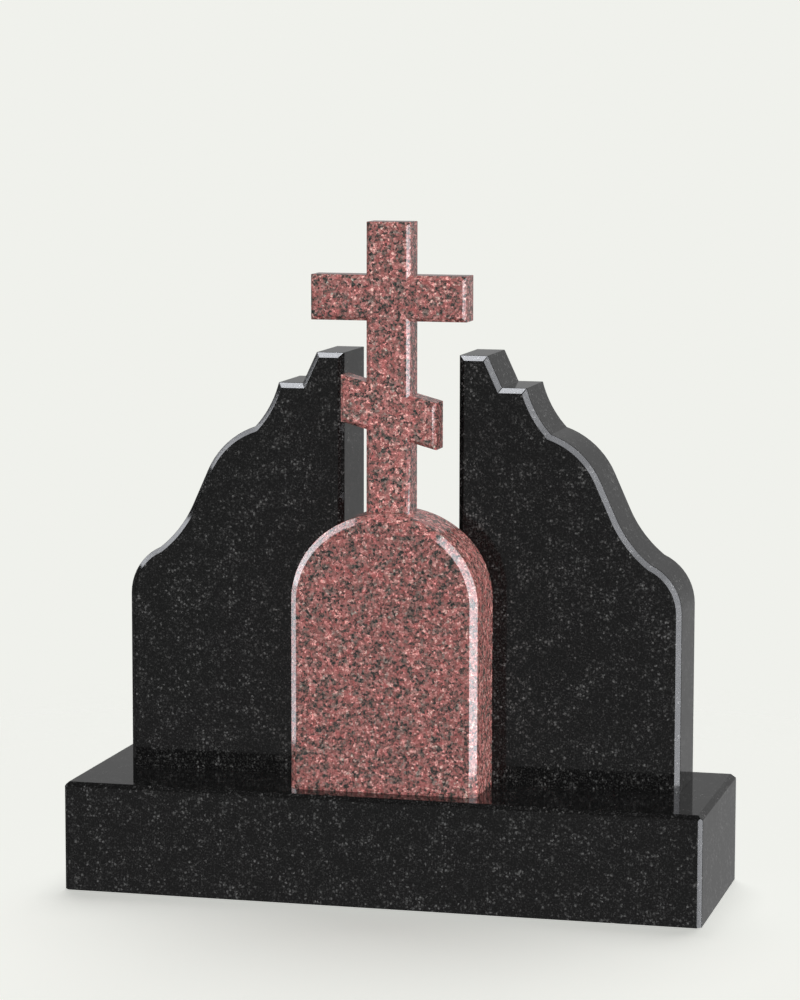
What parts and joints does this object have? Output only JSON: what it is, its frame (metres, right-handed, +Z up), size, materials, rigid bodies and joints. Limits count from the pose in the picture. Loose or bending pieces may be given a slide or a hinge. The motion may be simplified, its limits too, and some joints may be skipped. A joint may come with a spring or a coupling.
{
  "type": "cross grave monument",
  "caption": "Free-standing polished granite grave monument: long plinth, two ogee-edged wings, round-headed stele and an eight-pointed cross with a slanted lower bar.",
  "frame": {"origin": "middle of the plinth's underside, on the ground", "axes": "+Z up, +X to the right of someone who faces the monument, so its front looks along -Y"},
  "size_m": [1.2, 0.396, 1.247],
  "materials": {
    "black_granite": "mirror-polished black granite, fine dark grain with sparse small grey and brownish flecks",
    "red_granite": "polished red granite, medium grain of brick-red and pink feldspar, grey quartz and dark green-grey mica"
  },
  "bodies": {
    "root": {"plinth": "black_granite", "wing_left": "black_granite", "wing_right": "black_granite", "stele": "red_granite", "cross": "red_granite"}
  },
  "joints": []
}
